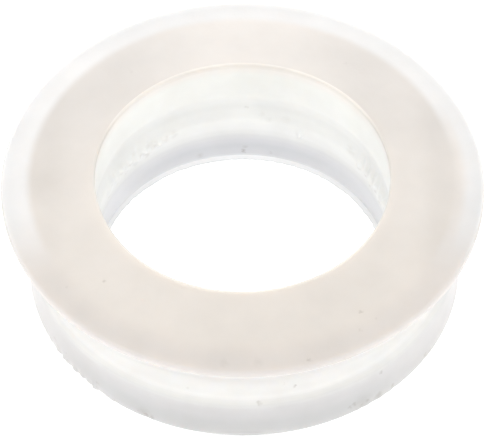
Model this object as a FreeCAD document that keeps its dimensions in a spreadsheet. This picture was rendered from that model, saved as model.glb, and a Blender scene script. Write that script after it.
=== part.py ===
import FreeCAD, Part
import Sketcher
import math
import os

# One moulded silicone gasket for a lugged quick coupling, standing on its foot.
# From the floor up: a straight foot, a flat shelf, a narrower neck, a thick head,
# and a thin flexible lip that runs out past the foot all round.
# The bore's axis is Z, and the foot's underside lies on Z = 0.

doc = FreeCAD.newDocument("CouplingGasket")

sheet = doc.addObject("Spreadsheet::Sheet", "Dimensions")
sizes = [
    # across the ring, from the bore outwards
    ("bore_diameter", "19.0"),
    ("neck_wall", "2.3"),
    ("groove_depth", "2.2"),
    ("head_setback", "0.3"),
    ("lip_overhang", "1.5"),
    # up the ring, from the floor
    ("foot_height", "3.35"),
    ("groove_width", "3.55"),
    ("head_side", "1.15"),
    ("lip_root", "0.78"),
    ("face_fall", "0.48"),
    ("lip_fall", "0.38"),
    ("lip_rim", "0.6"),
    # the shallow hollow round the middle of the bore
    ("hollow_height", "4.95"),
    ("hollow_depth", "0.2"),
    ("hollow_curve", "3.2"),
    # rounded and softened edges
    ("shoulder_round", "0.5"),
    ("neck_round", "0.6"),
    ("neck_bevel", "0.4"),
    ("head_bevel", "0.2"),
    ("rim_bevel", "0.15"),
    ("mouth_bevel", "0.15"),
    ("foot_bevel", "0.25"),
]
derived = [
    ("bore_radius", "=bore_diameter / 2"),
    ("neck_radius", "=bore_radius + neck_wall"),
    ("foot_radius", "=neck_radius + groove_depth"),
    ("head_radius", "=foot_radius - head_setback"),
    ("lip_radius", "=foot_radius + lip_overhang"),
    ("neck_top", "=foot_height + groove_width"),
    ("lip_under", "=neck_top + head_side"),
    ("face_edge", "=lip_under + lip_root"),
    ("overall_height", "=face_edge + face_fall"),
    ("rim_top", "=face_edge - lip_fall"),
    ("rim_under", "=rim_top - lip_rim"),
    ("hollow_centre", "=bore_radius + hollow_depth - hollow_curve"),
    ("hollow_chord", "=bore_radius - hollow_depth"),
]
for row, (alias, content) in enumerate(sizes + derived, start=1):
    sheet.set("A%d" % row, alias)
    sheet.set("B%d" % row, content)
    sheet.setAlias("B%d" % row, alias)
doc.recompute()


def size(alias):
    return float(sheet.get(alias))


def upright_sketch(body, name):
    # A sketch in the ring's half section: across is the radius, up is the height.
    plane = [item for item in body.Origin.OriginFeatures if item.Role == "XZ_Plane"][0]
    sketch = body.newObject("Sketcher::SketchObject", name)
    sketch.AttachmentSupport = [(plane, "")]
    sketch.MapMode = "FlatFace"
    return sketch


def bind_distance(sketch, direction, geometry, point, alias):
    # Holds a point of the sketch at a named distance from the axis or the floor.
    rule = Sketcher.Constraint(direction, -1, 1, geometry, point, size(alias))
    number = sketch.addConstraint(rule)
    sketch.setExpression("Constraints[%d]" % number, "Dimensions.%s" % alias)


def turn(body, kind, name, sketch):
    # Turns a half section all the way round the bore's axis.
    feature = body.newObject(kind, name)
    feature.Profile = sketch
    feature.ReferenceAxis = (sketch, ["V_Axis"])
    feature.Angle = 360
    sketch.Visibility = False
    doc.recompute()
    return feature


def finish_edges(body, kind, name, circles, alias):
    # Rounds or bevels the circular edges found at each named radius and height.
    # A height of None is the floor.
    base = body.Tip
    found = []
    for radius, height in circles:
        level = size(height) if height else 0.0
        for number, edge in enumerate(base.Shape.Edges, start=1):
            if not isinstance(edge.Curve, Part.Circle):
                continue
            same_radius = math.isclose(edge.Curve.Radius, size(radius), abs_tol=0.001)
            same_height = math.isclose(edge.Curve.Center.z, level, abs_tol=0.001)
            if same_radius and same_height:
                found.append("Edge%d" % number)
    if len(found) != len(circles):
        raise RuntimeError("%s found %d edges of %d" % (name, len(found), len(circles)))
    feature = body.newObject("PartDesign::%s" % kind, name)
    feature.Base = (base, found)
    amount = "Radius" if kind == "Fillet" else "Size"
    feature.setExpression(amount, "Dimensions.%s" % alias)
    doc.recompute()


gasket = doc.addObject("PartDesign::Body", "GasketRing")
gasket.Label = "gasket_ring"

# Half section of the moulding, corner by corner from the bore's foot outwards.
# The face falls outwards from the bore, and the lip carries on a little steeper.
outline = [
    ("bore_radius", None),
    ("foot_radius", None),
    ("foot_radius", "foot_height"),
    ("neck_radius", "foot_height"),
    ("neck_radius", "neck_top"),
    ("head_radius", "neck_top"),
    ("head_radius", "lip_under"),
    ("lip_radius", "rim_under"),
    ("lip_radius", "rim_top"),
    ("head_radius", "face_edge"),
    ("bore_radius", "overall_height"),
]
ring_section = upright_sketch(gasket, "RingSection")
corners = []
for radius, height in outline:
    corners.append(FreeCAD.Vector(size(radius), size(height) if height else 0.0, 0))
followers = corners[1:] + corners[:1]
for corner, follower in zip(corners, followers):
    ring_section.addGeometry(Part.LineSegment(corner, follower), False)
for line in range(len(corners)):
    next_line = (line + 1) % len(corners)
    ring_section.addConstraint(Sketcher.Constraint("Coincident", line, 2, next_line, 1))
for line, (radius, height) in enumerate(outline):
    bind_distance(ring_section, "DistanceX", line, 1, radius)
    if height:
        bind_distance(ring_section, "DistanceY", line, 1, height)
    else:
        ring_section.addConstraint(Sketcher.Constraint("PointOnObject", line, 1, -1))
doc.recompute()
ring = turn(gasket, "PartDesign::Revolution", "MouldedRing", ring_section)
volume_before = ring.Shape.Volume

# A shallow hollow runs round the bore at mid height: an arc closed by a chord
# that stands clear of the wall, inside the open bore.
hollow_section = upright_sketch(gasket, "HollowSection")
hollow_middle = FreeCAD.Vector(size("hollow_centre"), size("hollow_height"), 0)
reach = math.acos((size("hollow_chord") - size("hollow_centre")) / size("hollow_curve"))
full_circle = Part.Circle(hollow_middle, FreeCAD.Vector(0, 0, 1), size("hollow_curve"))
hollow_arc = Part.ArcOfCircle(full_circle, -reach, reach)
hollow_section.addGeometry(hollow_arc, False)
chord = Part.LineSegment(hollow_arc.EndPoint, hollow_arc.StartPoint)
hollow_section.addGeometry(chord, False)
hollow_section.addConstraint(Sketcher.Constraint("Coincident", 0, 2, 1, 1))
hollow_section.addConstraint(Sketcher.Constraint("Coincident", 1, 2, 0, 1))
hollow_section.addConstraint(Sketcher.Constraint("Vertical", 1))
curve_rule = Sketcher.Constraint("Radius", 0, size("hollow_curve"))
curve_number = hollow_section.addConstraint(curve_rule)
hollow_section.setExpression("Constraints[%d]" % curve_number, "Dimensions.hollow_curve")
bind_distance(hollow_section, "DistanceX", 0, 3, "hollow_centre")
bind_distance(hollow_section, "DistanceY", 0, 3, "hollow_height")
bind_distance(hollow_section, "DistanceX", 1, 1, "hollow_chord")
doc.recompute()
hollow = turn(gasket, "PartDesign::Groove", "BoreHollow", hollow_section)
if hollow.Shape.Volume > volume_before - 1.0:
    raise RuntimeError("the bore's hollow removed nothing")

# The foot's shoulder and the neck's root are round. The smaller edges are softened.
finish_edges(gasket, "Fillet", "ShoulderRound", [("foot_radius", "foot_height")], "shoulder_round")
finish_edges(gasket, "Fillet", "NeckRound", [("neck_radius", "foot_height")], "neck_round")
finish_edges(gasket, "Chamfer", "NeckBevel", [("neck_radius", "neck_top")], "neck_bevel")
head_edges = [("head_radius", "neck_top"), ("head_radius", "lip_under")]
finish_edges(gasket, "Chamfer", "HeadBevel", head_edges, "head_bevel")
rim_edges = [("lip_radius", "rim_under"), ("lip_radius", "rim_top")]
finish_edges(gasket, "Chamfer", "RimBevel", rim_edges, "rim_bevel")
finish_edges(gasket, "Chamfer", "MouthBevel", [("bore_radius", "overall_height")], "mouth_bevel")
foot_edges = [("bore_radius", None), ("foot_radius", None)]
finish_edges(gasket, "Chamfer", "FootBevel", foot_edges, "foot_bevel")

gasket.Placement = FreeCAD.Placement(FreeCAD.Vector(0, 0, 0), FreeCAD.Rotation())
doc.recompute()

for item in doc.Objects:
    if "Invalid" in item.State or "Error" in item.State:
        raise RuntimeError("%s failed" % item.Label)
shape = gasket.Shape
if shape.isNull() or not shape.isValid() or len(shape.Solids) != 1:
    raise RuntimeError("the gasket is not one valid solid")

os.makedirs("parts", exist_ok=True)
shape.exportStep("parts/%s.step" % gasket.Label)
box = shape.optimalBoundingBox()
print("gasket_ring %.2f x %.2f x %.2f mm" % (box.XLength, box.YLength, box.ZLength))
print("volume %.1f mm3" % shape.Volume)
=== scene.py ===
import math
import bpy
import bmesh
from mathutils import Matrix, Vector, noise


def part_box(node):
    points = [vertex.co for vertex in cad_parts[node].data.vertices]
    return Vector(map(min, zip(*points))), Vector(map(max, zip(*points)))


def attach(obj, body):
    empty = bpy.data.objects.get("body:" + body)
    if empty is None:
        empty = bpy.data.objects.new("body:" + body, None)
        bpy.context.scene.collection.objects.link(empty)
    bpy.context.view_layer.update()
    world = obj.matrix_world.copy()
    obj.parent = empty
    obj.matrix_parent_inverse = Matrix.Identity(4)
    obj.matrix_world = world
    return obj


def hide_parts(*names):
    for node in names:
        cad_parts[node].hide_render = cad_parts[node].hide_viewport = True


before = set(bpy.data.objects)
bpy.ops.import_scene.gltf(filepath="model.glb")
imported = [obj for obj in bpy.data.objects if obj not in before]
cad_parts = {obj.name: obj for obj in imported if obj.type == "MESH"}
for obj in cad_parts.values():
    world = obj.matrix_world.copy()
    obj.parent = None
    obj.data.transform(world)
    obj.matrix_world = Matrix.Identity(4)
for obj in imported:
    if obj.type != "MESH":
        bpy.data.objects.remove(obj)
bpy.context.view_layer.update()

# A moulded silicone coupling gasket on a pale floor, in soft light from all round.
# Lengths in the dictionaries are millimetres. The meshes are built in metres.
# Bearings are degrees round the bore: 0 at the back, 90 at the right, 180 at the front.
mm = 0.001


def linearColour(code):    # sRGB hex to Blender's linear colour
    channels = [int(code[i:i + 2], 16) / 255 for i in (0, 2, 4)]
    linear = [c / 12.92 if c <= 0.04045 else ((c + 0.055) / 1.055) ** 2.4 for c in channels]
    return (*linear, 1.0)


def addNode(tree, kind, settings=None, inputs=None):    # a node with its settings and links
    node = tree.nodes.new(kind)
    for name, value in (settings or {}).items():
        setattr(node, name, value)
    for name, value in (inputs or {}).items():
        if isinstance(value, bpy.types.NodeSocket):
            tree.links.new(value, node.inputs[name])
        else:
            node.inputs[name].default_value = value
    return node


def newMaterial(name):    # an empty material with its output and its coordinates
    material = bpy.data.materials.new(name)
    material.use_nodes = True
    tree = material.node_tree
    tree.nodes.clear()
    output = addNode(tree, "ShaderNodeOutputMaterial")
    place = addNode(tree, "ShaderNodeTexCoord").outputs["Object"]
    return material, tree, output, place


def newPiece(name, bm, materials):    # an object in the scene, from its finished bmesh
    mesh = bpy.data.meshes.new(name)
    bm.to_mesh(mesh)
    bm.free()
    for material in materials:
        mesh.materials.append(material)
    piece = bpy.data.objects.new(name, mesh)
    bpy.context.collection.objects.link(piece)
    return piece


def onBearing(radius, bearing, level):    # a point on the ring, in metres
    turn = math.radians(bearing)
    return Vector((radius * math.sin(turn), radius * math.cos(turn), level)) * mm


def smoothStep(low, high, value):    # 0 at low, 1 at high, with soft ends
    share = min(max((value - low) / (high - low), 0.0), 1.0)
    return share * share * (3 - 2 * share)


# The ring

# The solid's sizes, with the roundings that the mould gave the edges.
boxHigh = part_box("gasket_ring")[1]
ring = {
    "lipRadius": boxHigh.x / mm + 0.06,    # the soft lip spreads a little past the solid's
    "height": boxHigh.z / mm + 0.02,    # the solid's mouth is bevelled a little lower
    "boreRadius": 9.5,
    "neckRadius": 11.8,
    "footRadius": 14.0,
    "headRadius": 13.7,
    "footHeight": 3.35,
    "neckTop": 6.9,
    "lipUnder": 8.05,
    "faceEdge": 8.83,
    "rimTop": 8.45,
    "rimUnder": 7.85,
    "hollowLevel": 4.95,
    "hollowDepth": 0.2,
    "hollowCurve": 3.2,
    "footRound": 0.25,
    "shoulderRound": 0.55,
    "neckRound": 0.6,
    "neckTopRound": 0.45,
    "headRound": 0.25,
    "lipUnderRound": 0.1,
    "rimRound": 0.2,
    "mouthRound": 0.14,
    "steps": 480,    # faces round the ring
    "arcSegments": 5,    # and across each rounding
    "wallRow": 0.16,    # spacing of the rows that carry the flash in the bore
    "otherRow": 0.45,
    "tolerance": 0.01,    # a point this near to the bore's wall is on it
    "weld": 0.002,    # and points this near to each other become one
    "faceTilt": 0.8,    # the sealing face's normals point upwards by this much or more
}

# What the mould left: nubs of flash in the bore, where the two cores met, a thin fin
# and a ragged edge round the foot, and a lip that isn't quite flat.
mouldMarks = {
    "finWidth": 0.24,
    "finTip": 0.05,
    "finRoot": 0.12,
    "finRag": 0.07,
    "nubLevels": (1.5, 5.6),
    "nubDepth": 0.5,    # how deep behind the bore's wall points still move with a nub
    "nubGrain": 0.3,
    "nubEvenness": (0.75, 0.5),    # a nub's height: the steady share and the uneven one
    "footLevels": (4.0, 2.5),    # from the first level down to the second the soft foot
    "footShift": 0.1,    # moves this far to the right of the head
    "footSqueeze": 0.005,    # and becomes this share narrower from side to side
    "ragLevels": (0.6, 0.2),    # the foot's edge is ragged from the first level down
    "ragDepth": 0.3,    # in points no deeper inside it than this
    "ragGrain": 0.3,
    "ragEvenness": (-0.3, 1.2),
    "lipWave": 0.05,
    "lipWaveScale": 1.6,
    "outOfRound": 0.03,
    "outOfRoundScale": 1.1,
    "outOfRoundStart": (4, 1, 0),    # where in the noise it starts
    "nubs": [    # bearing, level, half length, half width and height of each
        (332.0, 3.7, 0.3, 0.15, 0.12), (328.3, 3.7, 0.3, 0.2, 0.26), (325.0, 3.4, 0.25, 0.2, 0.3),
        (322.5, 3.7, 0.3, 0.2, 0.24), (319.5, 3.35, 0.3, 0.25, 0.3), (316.0, 3.7, 0.25, 0.2, 0.2),
        (313.0, 3.3, 0.3, 0.3, 0.3), (309.5, 3.8, 0.25, 0.3, 0.28), (307.0, 3.2, 0.25, 0.25, 0.24),
        (303.5, 3.8, 0.25, 0.3, 0.28), (300.5, 3.3, 0.2, 0.35, 0.26), (297.0, 3.9, 0.2, 0.4, 0.24),
        (294.0, 3.2, 0.2, 0.4, 0.22), (320.0, 4.1, 0.3, 0.2, 0.16), (312.0, 4.3, 0.25, 0.2, 0.16),
        (23.3, 3.15, 0.15, 0.3, 0.3), (7.8, 4.5, 0.25, 0.2, 0.1), (10.5, 4.2, 0.25, 0.25, 0.1),
        (17.0, 4.4, 0.3, 0.2, 0.06), (47.5, 4.4, 0.35, 0.15, 0.16), (53.0, 3.9, 0.2, 0.5, 0.26),
        (57.5, 4.1, 0.18, 0.7, 0.3), (61.5, 3.7, 0.18, 0.7, 0.34), (65.5, 3.9, 0.18, 0.7, 0.32),
        (70.0, 3.6, 0.18, 0.7, 0.3), (75.0, 3.8, 0.2, 0.6, 0.24),
    ],
    "rags": [    # bearing, half length, and how far each stands out
        (207.0, 0.8, 0.04), (218.0, 1.2, 0.05), (224.0, 1.0, 0.09), (230.0, 1.4, 0.13),
        (236.5, 0.3, 0.16), (240.0, 0.6, 0.1), (246.0, 0.8, 0.06), (146.0, 2.0, 0.05),
        (136.0, 1.2, 0.06), (124.0, 0.6, 0.06),
    ],
}


def ringSection(bm):
    # The half section as a loop of edges: radius, level and rounding of each corner.
    finEdge = ring["boreRadius"] - mouldMarks["finWidth"]
    corners = [
        (ring["boreRadius"], mouldMarks["finRoot"], 0),
        (finEdge, mouldMarks["finTip"], 0),
        (finEdge, 0, 0),
        (ring["footRadius"], 0, ring["footRound"]),
        (ring["footRadius"], ring["footHeight"], ring["shoulderRound"]),
        (ring["neckRadius"], ring["footHeight"], ring["neckRound"]),
        (ring["neckRadius"], ring["neckTop"], ring["neckTopRound"]),
        (ring["headRadius"], ring["neckTop"], ring["headRound"]),
        (ring["headRadius"], ring["lipUnder"], ring["lipUnderRound"]),
        (ring["lipRadius"], ring["rimUnder"], ring["rimRound"]),
        (ring["lipRadius"], ring["rimTop"], ring["rimRound"]),
        (ring["headRadius"], ring["faceEdge"], 0),
        (ring["boreRadius"], ring["height"], ring["mouthRound"]),
    ]
    verts = [bm.verts.new((radius * mm, 0, level * mm)) for radius, level, _ in corners]
    for vert, follower in zip(verts, verts[1:] + verts[:1]):
        bm.edges.new((vert, follower))
    for vert, (_, _, rounding) in zip(verts, corners):
        if rounding:
            bmesh.ops.bevel(bm, geom=[vert], offset=rounding * mm, offset_type="OFFSET",
                            segments=ring["arcSegments"], profile=0.5, affect="VERTICES",
                            clamp_overlap=False, material=-1)
    for edge in list(bm.edges):
        fromWall = [abs(vert.co.x / mm - ring["boreRadius"]) for vert in edge.verts]
        row = ring["wallRow"] if max(fromWall) < ring["tolerance"] else ring["otherRow"]
        cuts = int(edge.calc_length() / mm / row)
        if cuts:
            bmesh.ops.subdivide_edges(bm, edges=[edge], cuts=cuts)


def hollowBore(bm):
    # A shallow round hollow at mid height, as in the solid.
    centre = ring["boreRadius"] + ring["hollowDepth"] - ring["hollowCurve"]
    for vert in bm.verts:
        radius, level = vert.co.x / mm, vert.co.z / mm
        if abs(radius - ring["boreRadius"]) > ring["tolerance"]:
            continue
        fromMiddle = level - ring["hollowLevel"]
        if abs(fromMiddle) < ring["hollowCurve"]:
            arc = centre + math.sqrt(ring["hollowCurve"] ** 2 - fromMiddle ** 2)
            vert.co.x = max(radius, arc) * mm


def turnSection(bm):
    bmesh.ops.spin(bm, geom=bm.verts[:] + bm.edges[:], cent=(0, 0, 0), axis=(0, 0, 1),
                   dvec=(0, 0, 0), angle=math.tau, steps=ring["steps"], use_merge=True,
                   use_normal_flip=False, use_duplicate=False)
    bmesh.ops.remove_doubles(bm, verts=bm.verts, dist=ring["weld"] * mm)
    bmesh.ops.recalc_face_normals(bm, faces=bm.faces)


def paintRing(bm):
    # Slots: the sealing face with the thin lip, and the moulded walls.
    mouthEnd = ring["boreRadius"] + ring["mouthRound"]
    for face in bm.faces:
        middle = face.calc_center_median() / mm
        radius = math.hypot(middle.x, middle.y)
        isLip = radius > ring["headRadius"] and middle.z > ring["neckTop"]
        isFace = (face.normal.z > ring["faceTilt"] and radius > mouthEnd
                  and middle.z > ring["rimTop"])
        face.material_index = 0 if isLip or isFace else 1
        face.smooth = True


def nubsAt(around, radius, level):    # how far the nubs stand into the bore at a point
    steady, uneven = mouldMarks["nubEvenness"]
    grain = noise.noise((around + Vector((0, 0, level))) / mouldMarks["nubGrain"])
    total = 0.0
    for bearing, nubLevel, length, width, height in mouldMarks["nubs"]:
        sideways = (around - onBearing(radius, bearing, 0) / mm).length / length
        upwards = (level - nubLevel) / width
        total += height * (steady + uneven * grain) * math.exp(-sideways ** 2 - upwards ** 2)
    return total


def ragsAt(around, radius, level):    # how far the foot's ragged edge stands out at a point
    steady, uneven = mouldMarks["ragEvenness"]
    grain = noise.noise(around / mouldMarks["ragGrain"])
    upwards = smoothStep(*mouldMarks["ragLevels"], level)
    total = 0.0
    for bearing, length, height in mouldMarks["rags"]:
        sideways = (around - onBearing(radius, bearing, 0) / mm).length / length
        total += height * (steady + uneven * grain) * math.exp(-sideways ** 2) * upwards
    return total


def markFromMould(bm):
    # Moves each point along its own radius and height by what the mould left there.
    nubLow, nubHigh = mouldMarks["nubLevels"]
    ragTop, _ = mouldMarks["ragLevels"]
    lipReach = ring["lipRadius"] - ring["headRadius"]
    for vert in bm.verts:
        radius, level = math.hypot(vert.co.x, vert.co.y) / mm, vert.co.z / mm
        outwards = Vector((vert.co.x, vert.co.y, 0)).normalized()
        around = outwards * radius
        swell = outwards * mouldMarks["outOfRoundScale"] + Vector(mouldMarks["outOfRoundStart"])
        shift = mouldMarks["outOfRound"] * noise.noise(swell)
        if radius < ring["boreRadius"] + mouldMarks["nubDepth"] and nubLow < level < nubHigh:
            shift -= nubsAt(around, radius, level)
        if radius < ring["boreRadius"] - 2 * ring["tolerance"] and level < mouldMarks["finRoot"]:
            shift -= mouldMarks["finRag"] * noise.noise(around / mouldMarks["ragGrain"])
        if radius > ring["footRadius"] - mouldMarks["ragDepth"] and level < ragTop:
            shift += ragsAt(around, radius, level)
        if radius > ring["neckRadius"]:
            inFoot = smoothStep(*mouldMarks["footLevels"], level)
            vert.co.x *= 1 - mouldMarks["footSqueeze"] * inFoot
            vert.co.x += mouldMarks["footShift"] * inFoot * mm
        if radius > ring["headRadius"] and level > ring["neckTop"]:
            wave = noise.noise(outwards * mouldMarks["lipWaveScale"])
            vert.co.z += mouldMarks["lipWave"] * wave * (radius - ring["headRadius"]) / lipReach * mm
        vert.co += outwards * shift * mm


def makeRing(materials):
    bm = bmesh.new()
    ringSection(bm)
    hollowBore(bm)
    turnSection(bm)
    openEdges = sum(1 for edge in bm.edges if not edge.is_manifold)
    paintRing(bm)
    markFromMould(bm)
    print("ring", len(bm.faces), "faces,", openEdges, "open edges")
    return newPiece("gasket_silicone", bm, materials)


# Silicone rubber, moulded under pressure: milky where it is thick, clearer in the thin lip,
# and satin from the mould's fine blast finish, with a softer edge wherever light comes through.

silicone = {
    "ior": 1.41,
    "scatterTint": (1.0, 0.93, 0.85),    # red light travels furthest inside
    "clouds": 3.0,    # how large the faint clouds in the rubber are
    "cloudRange": (0.3, 0.7),    # the part of the noise that is used
    "cloudLift": 0.7,    # how much of the depth goes to the lighter side
    "cloudDetail": 3.0,
    "cloudRoughness": 0.55,
    "grain": 0.25,    # the real finish is finer, and too small to show
    "grainDetail": 4.0,
    "grainHeight": 0.012,
    # the dirt's colour, also used for the painted shade under the nubs
    "dirtAndShadeColour": "6E6250",
    "speckGrain": 0.3,    # how ragged each speck's edge is
    "speckDetail": 3.0,
    "speckStray": 0.25,
    "speckEdge": (1.3, 0.2),    # a speck starts and is full at these shares of its size
    "nubShade": 0.8,    # how strong the painted shade under a nub is, for each millimetre that the nub stands out
    "nubShadePlace": 0.4,    # how far out on the nub this painted shade lies, as a share of its height
    "specks": [    # radius, bearing, level, size and strength of each
        (11.9, 272.0, 9.0, 2.1, 0.07),    # a soft dark patch
        (12.2, 226.4, 9.0, 0.11, 0.3), (13.3, 145.5, 8.88, 0.14, 0.3), (14.2, 143.4, 8.72, 0.12, 0.14),
        (15.15, 164.0, 8.52, 0.16, 0.2), (14.2, 232.2, 8.72, 0.12, 0.1), (14.4, 148.9, 8.68, 0.12, 0.12),
        (14.8, 176.3, 8.6, 0.3, 0.07), (14.9, 184.6, 8.58, 0.3, 0.07), (11.9, 34.5, 9.04, 0.12, 0.07),
        (11.6, 321.5, 9.07, 0.12, 0.07), (12.95, 165.1, 3.35, 0.13, 0.3), (13.84, 175.8, 3.2, 0.15, 0.26),
        (13.15, 195.8, 3.35, 0.14, 0.12), (12.6, 168.0, 3.35, 0.12, 0.12), (14.0, 207.2, 0.6, 0.45, 0.16),
        (14.0, 206.4, 0.4, 0.2, 0.4), (14.0, 204.8, 0.4, 0.18, 0.3), (14.0, 208.6, 0.5, 0.15, 0.25),
        (14.0, 147.0, 0.7, 0.7, 0.14), (14.0, 145.4, 0.65, 0.2, 0.35), (14.0, 149.2, 0.9, 0.18, 0.35),
        (14.0, 147.2, 0.5, 0.2, 0.3), (14.0, 150.6, 0.8, 0.14, 0.25), (14.0, 141.5, 0.5, 0.3, 0.25),
        (14.0, 123.5, 0.55, 0.2, 0.35), (14.0, 136.8, 0.55, 0.17, 0.35), (14.0, 140.8, 2.7, 0.12, 0.3),
        (14.0, 235.4, 1.0, 0.2, 0.2), (14.0, 241.0, 1.0, 0.2, 0.2), (14.0, 222.4, 0.9, 0.18, 0.2),
        (9.5, 0.6, 0.59, 0.17, 0.36), (9.5, 1.0, 1.0, 0.16, 0.16), (9.5, 11.4, 0.6, 0.12, 0.18),
        (9.5, 343.0, 0.65, 0.26, 0.16), (9.7, 1.8, 4.75, 0.14, 0.16), (9.4, 23.9, 2.95, 0.14, 0.16),
    ],
}


def dirtAndShadeMask(tree, place):    # 0 where clean, up to each speck's strength: dirt, and the painted shade under the nubs
    grain = addNode(tree, "ShaderNodeTexNoise", None,
                    {"Vector": place, "Scale": 1 / (silicone["speckGrain"] * mm),
                     "Detail": silicone["speckDetail"]})
    strayed = addNode(tree, "ShaderNodeVectorMath", {"operation": "MULTIPLY_ADD"},
                      {0: grain.outputs["Color"], 1: (silicone["speckStray"] * 2 * mm,) * 3,
                       2: place})
    middle = addNode(tree, "ShaderNodeVectorMath", {"operation": "SUBTRACT"},
                     {0: strayed.outputs["Vector"], 1: (silicone["speckStray"] * mm,) * 3})
    # the painted shade under each nub, laid in like a speck
    shadeUnderNubs = [(ring["boreRadius"] - height * silicone["nubShadePlace"], bearing, level - width,
                  length, height * silicone["nubShade"])
                 for bearing, level, length, width, height in mouldMarks["nubs"]]
    start, full = silicone["speckEdge"]
    mask = 0.0
    for radius, bearing, level, size, strength in silicone["specks"] + shadeUnderNubs:
        away = addNode(tree, "ShaderNodeVectorMath", {"operation": "DISTANCE"},
                       {0: middle.outputs["Vector"], 1: onBearing(radius, bearing, level)})
        spot = addNode(tree, "ShaderNodeMapRange", None,
                       {"Value": away.outputs["Value"], "From Min": size * start * mm,
                        "From Max": size * full * mm, "To Min": 0.0, "To Max": strength})
        mask = addNode(tree, "ShaderNodeMath", {"operation": "MAXIMUM"},
                       {0: mask, 1: spot.outputs[0]}).outputs[0]
    return mask


def shadedUpwards(tree, place, shades):    # a colour for each height, blended between them
    top = shades[-1][0]
    level = addNode(tree, "ShaderNodeSeparateXYZ", None, {"Vector": place}).outputs["Z"]
    share = addNode(tree, "ShaderNodeMapRange", None,
                    {"Value": level, "From Min": 0.0, "From Max": top * mm}).outputs[0]
    ramp = addNode(tree, "ShaderNodeValToRGB", None, {"Fac": share})
    stops = ramp.color_ramp.elements
    while len(stops) < len(shades):
        stops.new(1.0)
    ramp.color_ramp.interpolation = "EASE"
    for stop, (height, code) in zip(stops, shades):
        stop.position = height / top
        stop.color = linearColour(code)
    return ramp.outputs["Color"]


def setsIn(tree, place, measure, near, far):    # 0 at the near distance, 1 at the far one
    if measure == "radius":
        flat = addNode(tree, "ShaderNodeVectorMath", {"operation": "MULTIPLY"},
                       {0: place, 1: (1, 1, 0)}).outputs["Vector"]
        value = addNode(tree, "ShaderNodeVectorMath", {"operation": "LENGTH"},
                        {0: flat}).outputs["Value"]
    elif measure == "side":
        along = addNode(tree, "ShaderNodeSeparateXYZ", None, {"Vector": place}).outputs["X"]
        value = addNode(tree, "ShaderNodeMath", {"operation": "ABSOLUTE"}, {0: along}).outputs[0]
    else:
        value = addNode(tree, "ShaderNodeSeparateXYZ", None, {"Vector": place}).outputs[measure]
    return addNode(tree, "ShaderNodeMapRange", {"interpolation_type": "SMOOTHSTEP"},
                   {"Value": value, "From Min": near * mm, "From Max": far * mm}).outputs[0]


def painted(tree, place, colour, layers):
    # Lays each layer over the last: a colour, or a share to darken by, and its bounds.
    for over, *bounds in layers:
        settings = {"data_type": "RGBA"}
        if isinstance(over, float):
            settings["blend_type"] = "MULTIPLY"
            over = (1 - over,) * 3 + (1.0,)
        elif isinstance(over, str):
            over = linearColour(over)
        share = 1.0
        for bound in bounds:
            share = addNode(tree, "ShaderNodeMath", {"operation": "MULTIPLY"},
                            {0: share, 1: setsIn(tree, place, *bound)}).outputs[0]
        colour = addNode(tree, "ShaderNodeMix", settings,
                         {"Factor": share, 6: colour, 7: over}).outputs[2]
    return colour


def clouded(tree, place, colour, depth):    # a faint cloudiness in the rubber
    clouds = addNode(tree, "ShaderNodeTexNoise", None,
                     {"Vector": place, "Scale": 1 / (silicone["clouds"] * mm),
                      "Detail": silicone["cloudDetail"],
                      "Roughness": silicone["cloudRoughness"]})
    low, high = silicone["cloudRange"]
    shade = addNode(tree, "ShaderNodeMapRange", None,
                    {"Value": clouds.outputs["Fac"], "From Min": low, "From Max": high,
                     "To Min": 1 - depth, "To Max": 1 + depth * silicone["cloudLift"]})
    return addNode(tree, "ShaderNodeMix", {"data_type": "RGBA", "blend_type": "MULTIPLY"},
                   {"Factor": 1.0, 6: colour, 7: shade.outputs[0]}).outputs[2]


def finishSilicone(tree, output, place, look, colour, scatter):
    # Clouds, dirt and the painted shade under the nubs in the colour, the mould's fine grain, and light
    # that travels inside.
    colour = clouded(tree, place, colour, look["cloudDepth"])
    colour = addNode(tree, "ShaderNodeMix", {"data_type": "RGBA"},
                     {"Factor": dirtAndShadeMask(tree, place), 6: colour,
                      7: linearColour(silicone["dirtAndShadeColour"])}).outputs[2]
    grain = addNode(tree, "ShaderNodeTexNoise", None,
                    {"Vector": place, "Scale": 1 / (silicone["grain"] * mm),
                     "Detail": silicone["grainDetail"]})
    bump = addNode(tree, "ShaderNodeBump", None,
                   {"Height": grain.outputs["Fac"], "Strength": look["bump"],
                    "Distance": silicone["grainHeight"] * mm})
    shader = addNode(tree, "ShaderNodeBsdfPrincipled", {"subsurface_method": "RANDOM_WALK"}, {
        "Base Color": colour,
        "Roughness": look["roughness"],
        "IOR": silicone["ior"],
        "Subsurface Weight": 1.0,
        "Subsurface Radius": silicone["scatterTint"],
        "Subsurface Scale": scatter,
        "Normal": bump.outputs["Normal"],
    })
    tree.links.new(shader.outputs["BSDF"], output.inputs["Surface"])


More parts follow.
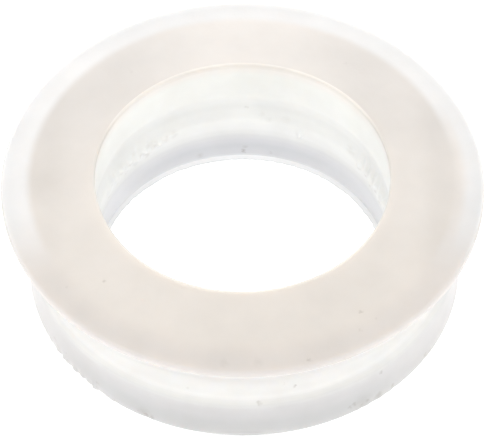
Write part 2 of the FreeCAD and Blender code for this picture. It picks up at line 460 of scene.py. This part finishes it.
# Layers of colour on the face and the lip. Each is a colour, or a share to darken by, and
# the bounds between which it sets in: along X, Y or Z, to either side, or by the radius.
faceAndLip = {
    "roughness": 0.6,
    "scatter": 0.7,    # how far light travels inside before it comes out
    "cloudDepth": 0.03,
    "bump": 0.5,
    "face": "D9D3CC",    # warm, where the body is deep
    "faceLayers": [
        ("D5CFC8", ("X", -ring["headRadius"], ring["headRadius"])),    # a little darker to the right
        ("D8D3CE", ("Y", -ring["headRadius"], ring["headRadius"])),    # and cooler behind
        (0.085, ("side", 2.0, 8.0), ("Y", -3.0, 8.0)),    # painted shade: darker behind, to both sides
        (0.05, ("side", 10.5, 12.7), ("radius", 10.0, 13.0)),    # and painted shade at the sides' outer edge
        (0.03, ("radius", 9.95, 9.6)),    # and painted shade round the mouth
    ],
    "lip": "D9D8D7",    # the thin lip, which the pale floor shows through
    "lipLayers": [
        ("D3D3D3", ("radius", 14.15, ring["lipRadius"])),    # from root to rim
        (-0.04, ("X", -7.0, -13.5)),    # a little lighter at the left
        (0.022, ("Y", 7.0, 13.5)),    # and darker behind
        ("D5D0CB", ("X", 12.3, 14.0), ("radius", 14.7, 13.9)),    # warmer at the right root
    ],
    "lipStart": ("radius", 13.45, 14.15),
    # a painted shade along the rim's edge, at the sides and behind
    "rim": ("C8C5C1", ("radius", 15.46, 15.55)),
    "paintedFrontLayers": [    # in front, where the foot shows through the lip and not the floor: painted shade of the shaded groove under the lip
        ("D1CCC7", ("radius", 13.3, 15.0)),
        ("CFCBC9", ("radius", 15.32, 15.6)),    # pale where the underside lights the rim
    ],
    "floorStart": ("Y", -8.0, -2.5),    # from here backwards the floor shows through
}


def faceAndLipSilicone():
    # Matt and warm over the ring's full depth, paler in the thin lip, which light crosses.
    material, tree, output, place = newMaterial("silicone_face_and_lip")
    face = painted(tree, place, linearColour(faceAndLip["face"]), faceAndLip["faceLayers"])
    lip = painted(tree, place, linearColour(faceAndLip["lip"]), faceAndLip["lipLayers"])
    overFloor = painted(tree, place, face, [(lip, faceAndLip["lipStart"]), faceAndLip["rim"]])
    paintedFront = painted(tree, place, face, faceAndLip["paintedFrontLayers"])
    colour = painted(tree, place, paintedFront, [(overFloor, faceAndLip["floorStart"])])
    finishSilicone(tree, output, place, faceAndLip, colour, faceAndLip["scatter"] * mm)
    return material


# Heights and colours up the walls, milky above, cooler and darker where the foot is deep,
# partly as painted shade near the floor, and the layers over them, as on the face.
walls = {
    "roughness": 0.35,
    "scatterInBore": 0.5,
    "scatterOutside": 1.5,
    "cloudDepth": 0.04,
    "bump": 0.3,
    "boreShades": [
        (0.05, "D6D6D8"), (0.06, "E6E6E8"), (0.07, "FFFFFF"), (0.16, "FFFFFF"),    # the fin, painted white as a highlight, with a painted shadow line at its tip
        (0.24, "DDDEE0"), (0.45, "D2D2D5"), (1.2, "CBCCCF"), (1.7, "D1D1D4"),    # the foot, darker low in the bore, partly painted shade near the floor
        (2.1, "D7D7D8"), (2.55, "E2E2E1"), (3.0, "E8E8E7"), (3.6, "EAEAE8"),
        (4.4, "E9E9E7"), (4.95, "E6E6E4"), (5.5, "E9E9E7"),    # painted shade, a little greyer in the hollow
        (6.4, "EDEDEA"), (8.2, "F0F0EC"), (8.8, "EFECE8"),
        (9.0, "E9E5E0"), (9.2, "E1DCD6"),    # and warmer at the mouth
    ],
    "boreLayers": [
        ("DFDFE1", ("side", 3.5, 9.5), ("Z", 2.7, 1.8), ("Z", 0.13, 0.25)),    # pale low down
        (0.02, ("side", 4.0, 9.0), ("Z", 3.0, 4.5)),    # and darker above that
        (0.18, ("Z", 9.0, 9.12), ("Y", 7.0, 2.0)),    # painted shade on the mouth's round edge, but not behind
    ],
    # the neck: painted light at its root by the shelf, and painted shade higher up under the head
    "neckShades": [(3.3, "FDFDFC"), (4.6, "FBFBFA"), (5.5, "D2D2D0"), (7.2, "CECECC")],
    "neckStart": ("radius", 10.2, 10.8),
    "footShades": [
        # the upright wall grey and darker towards the floor, partly painted shade, and the shelf painted
        # white where it faces up to the light
        (0.2, "C4C4C4"), (1.2, "C4C4C4"), (2.2, "CAC9C9"), (2.75, "CDCCCC"),
        (3.05, "D2D2D1"), (3.2, "DBDBD9"), (3.3, "E3E3E2"), (3.35, "F3F3F2"),    # the shoulder
        (7.7, "E9E9E8"), (8.1, "E6E6E3"),    # the head's side
    ],
    "footLayers": [
        ("CCCAC9", ("side", 7.0, 13.0), ("Z", 3.2, 2.6), ("Z", 0.13, 0.25)),    # painted sheen: paler low down at both sides
    ],
    "footStart": ("radius", 12.2, 13.4),
}


def mouldedWallSilicone():    # smoother than the face, and milky
    material, tree, output, place = newMaterial("silicone_moulded_wall")
    bore, neck, foot = [shadedUpwards(tree, place, walls[shades])
                        for shades in ("boreShades", "neckShades", "footShades")]
    bore = painted(tree, place, bore, walls["boreLayers"])
    foot = painted(tree, place, foot, walls["footLayers"])
    colour = painted(tree, place, bore, [(neck, walls["neckStart"]), (foot, walls["footStart"])])
    scatter = addNode(tree, "ShaderNodeMapRange", None,
                      {"Value": setsIn(tree, place, *walls["neckStart"]),
                       "To Min": walls["scatterInBore"] * mm,
                       "To Max": walls["scatterOutside"] * mm}).outputs[0]
    finishSilicone(tree, output, place, walls, colour, scatter)
    return material


ringSilicone = [faceAndLipSilicone(), mouldedWallSilicone()]
print("silicone done")
gasket = makeRing(ringSilicone)
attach(gasket, "root")
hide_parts("gasket_ring")


# The floor

floorSheet = {
    "side": 2400,
    "below": 0.03,    # a hair lower, so that it never shares a plane with the foot
    "colour": "F3F3F3",
    "roughness": 0.7,
    "glow": 0.4,
}


def opalAcrylic():    # a satin white sheet, lit a little from below, which leaves no shadows
    material, tree, output, _ = newMaterial("opal_acrylic")
    shader = addNode(tree, "ShaderNodeBsdfPrincipled", None, {
        "Base Color": linearColour(floorSheet["colour"]),
        "Roughness": floorSheet["roughness"],
        "Emission Color": (1, 1, 1, 1),
        "Emission Strength": floorSheet["glow"],
    })
    tree.links.new(shader.outputs["BSDF"], output.inputs["Surface"])
    return material


def makeFloor():
    bm = bmesh.new()
    bmesh.ops.create_grid(bm, x_segments=1, y_segments=1, size=floorSheet["side"] / 2 * mm)
    bmesh.ops.translate(bm, verts=bm.verts, vec=(0, 0, -floorSheet["below"] * mm))
    return newPiece("floor", bm, [opalAcrylic()])


makeFloor()
print("floor done")


# Light

softLight = {
    "room": "FFFFFF",
    "roomStrength": 0.5,
    "boxes": [    # name, place, side, watts
        ("top_box", (0, 100, 1200), 1000, 2.5),
        ("front_box", (0, -900, 800), 900, 5.5),
        ("back_box", (0, 1050, 500), 900, 9.5),
        ("left_box", (-1050, 0, 450), 800, 3.5),
        ("right_box", (1050, 0, 450), 800, 3.5),
    ],
}


def lightScene():
    bpy.context.scene.view_settings.view_transform = "Standard"    # whites stay white
    world = bpy.data.worlds.new("soft_room")
    bpy.context.scene.world = world
    world.use_nodes = True
    background = world.node_tree.nodes["Background"]
    background.inputs["Color"].default_value = linearColour(softLight["room"])
    background.inputs["Strength"].default_value = softLight["roomStrength"]
    for name, place, side, watts in softLight["boxes"]:
        lamp = bpy.data.lights.new(name, "AREA")
        lamp.shape = "SQUARE"
        lamp.size = side * mm
        lamp.energy = watts
        box = bpy.data.objects.new(name, lamp)
        box.location = Vector(place) * mm
        box.rotation_euler = (-box.location).to_track_quat("-Z", "Y").to_euler()
        box.visible_camera = False
        bpy.context.collection.objects.link(box)


lightScene()
print("light done")


# The camera, from the circles of the bore, lip and foot in the 485 x 436 photograph

photoCamera = {
    "distance": 624.0,
    "elevation": 50.183,
    "roll": 0.146,
    "pixelsPerMm": 15.555,
    "faceLevel": 9.3,    # the view is measured from the middle of the face
    "right": 0.0013,
    "up": 2.6759,
    "frameWidth": 485,
    "sensorWidth": 36.0,
    "nearest": 10,    # what is closer or further than this isn't drawn
    "furthest": 10000,
}


def makeCamera():
    tilt = math.radians(photoCamera["elevation"])
    roll = math.radians(photoCamera["roll"])
    right = Vector((1, 0, 0))
    up = Vector((0, math.sin(tilt), math.cos(tilt)))
    forward = Vector((0, math.cos(tilt), -math.sin(tilt)))
    rolledRight = right * math.cos(roll) - up * math.sin(roll)
    rolledUp = right * math.sin(roll) + up * math.cos(roll)
    centre = Vector((0, 0, photoCamera["faceLevel"]))
    centre -= forward * photoCamera["distance"]
    centre -= rolledRight * photoCamera["right"] + rolledUp * photoCamera["up"]
    camera = bpy.data.cameras.new("photo_camera")
    camera.sensor_width = photoCamera["sensorWidth"]
    focalPixels = photoCamera["pixelsPerMm"] * photoCamera["distance"]
    camera.lens = focalPixels / photoCamera["frameWidth"] * camera.sensor_width
    camera.clip_start = photoCamera["nearest"] * mm
    camera.clip_end = photoCamera["furthest"] * mm
    holder = bpy.data.objects.new("photo_camera", camera)
    turn = Matrix((rolledRight, rolledUp, -forward)).transposed()
    holder.matrix_world = Matrix.Translation(centre * mm) @ turn.to_4x4()
    bpy.context.collection.objects.link(holder)
    bpy.context.scene.camera = holder


makeCamera()
print("camera done")
